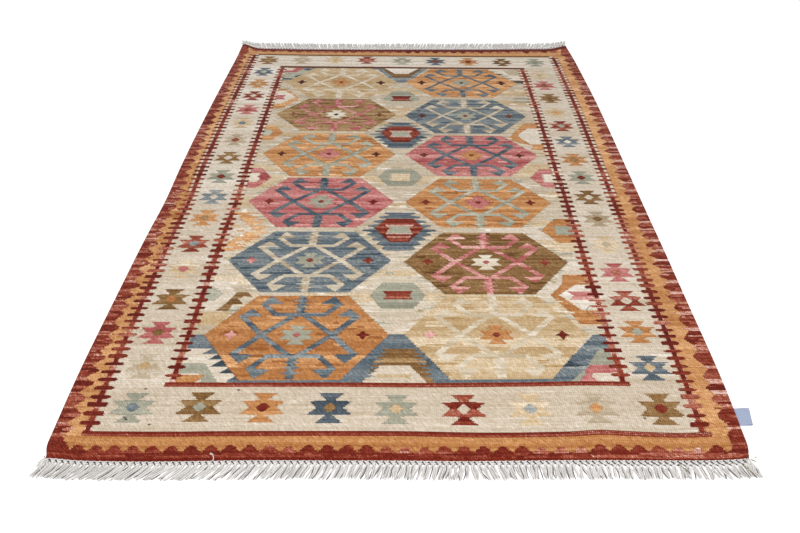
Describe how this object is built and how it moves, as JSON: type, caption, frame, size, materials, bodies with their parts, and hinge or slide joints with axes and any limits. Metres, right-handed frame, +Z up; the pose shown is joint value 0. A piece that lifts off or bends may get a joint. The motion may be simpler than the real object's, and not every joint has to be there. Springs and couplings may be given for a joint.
{
  "type": "kilim rug",
  "caption": "Flat-woven wool kilim with hexagon medallions, a star border, a knotted warp fringe at both ends and a small folded side label.",
  "frame": {"origin": "middle of the woven cloth's underside, on the floor that the rug lies on", "axes": "+Y along the warp from the near end to the far end, +X across the rug towards the selvedge with the label, +Z up out of the face"},
  "size_m": [1.7404, 2.5873, 0.0157],
  "materials": {
    "kilim_wool": "matt flat-woven wool in cream, dark red, orange, blue, olive and pink",
    "warp_cotton": "matt undyed cotton yarn",
    "label_ribbon": "pale blue woven ribbon with a slight sheen"
  },
  "bodies": {
    "root": {"cloth": "kilim_wool", "fringe_near": "warp_cotton", "fringe_far": "warp_cotton", "label": "label_ribbon"}
  },
  "joints": []
}
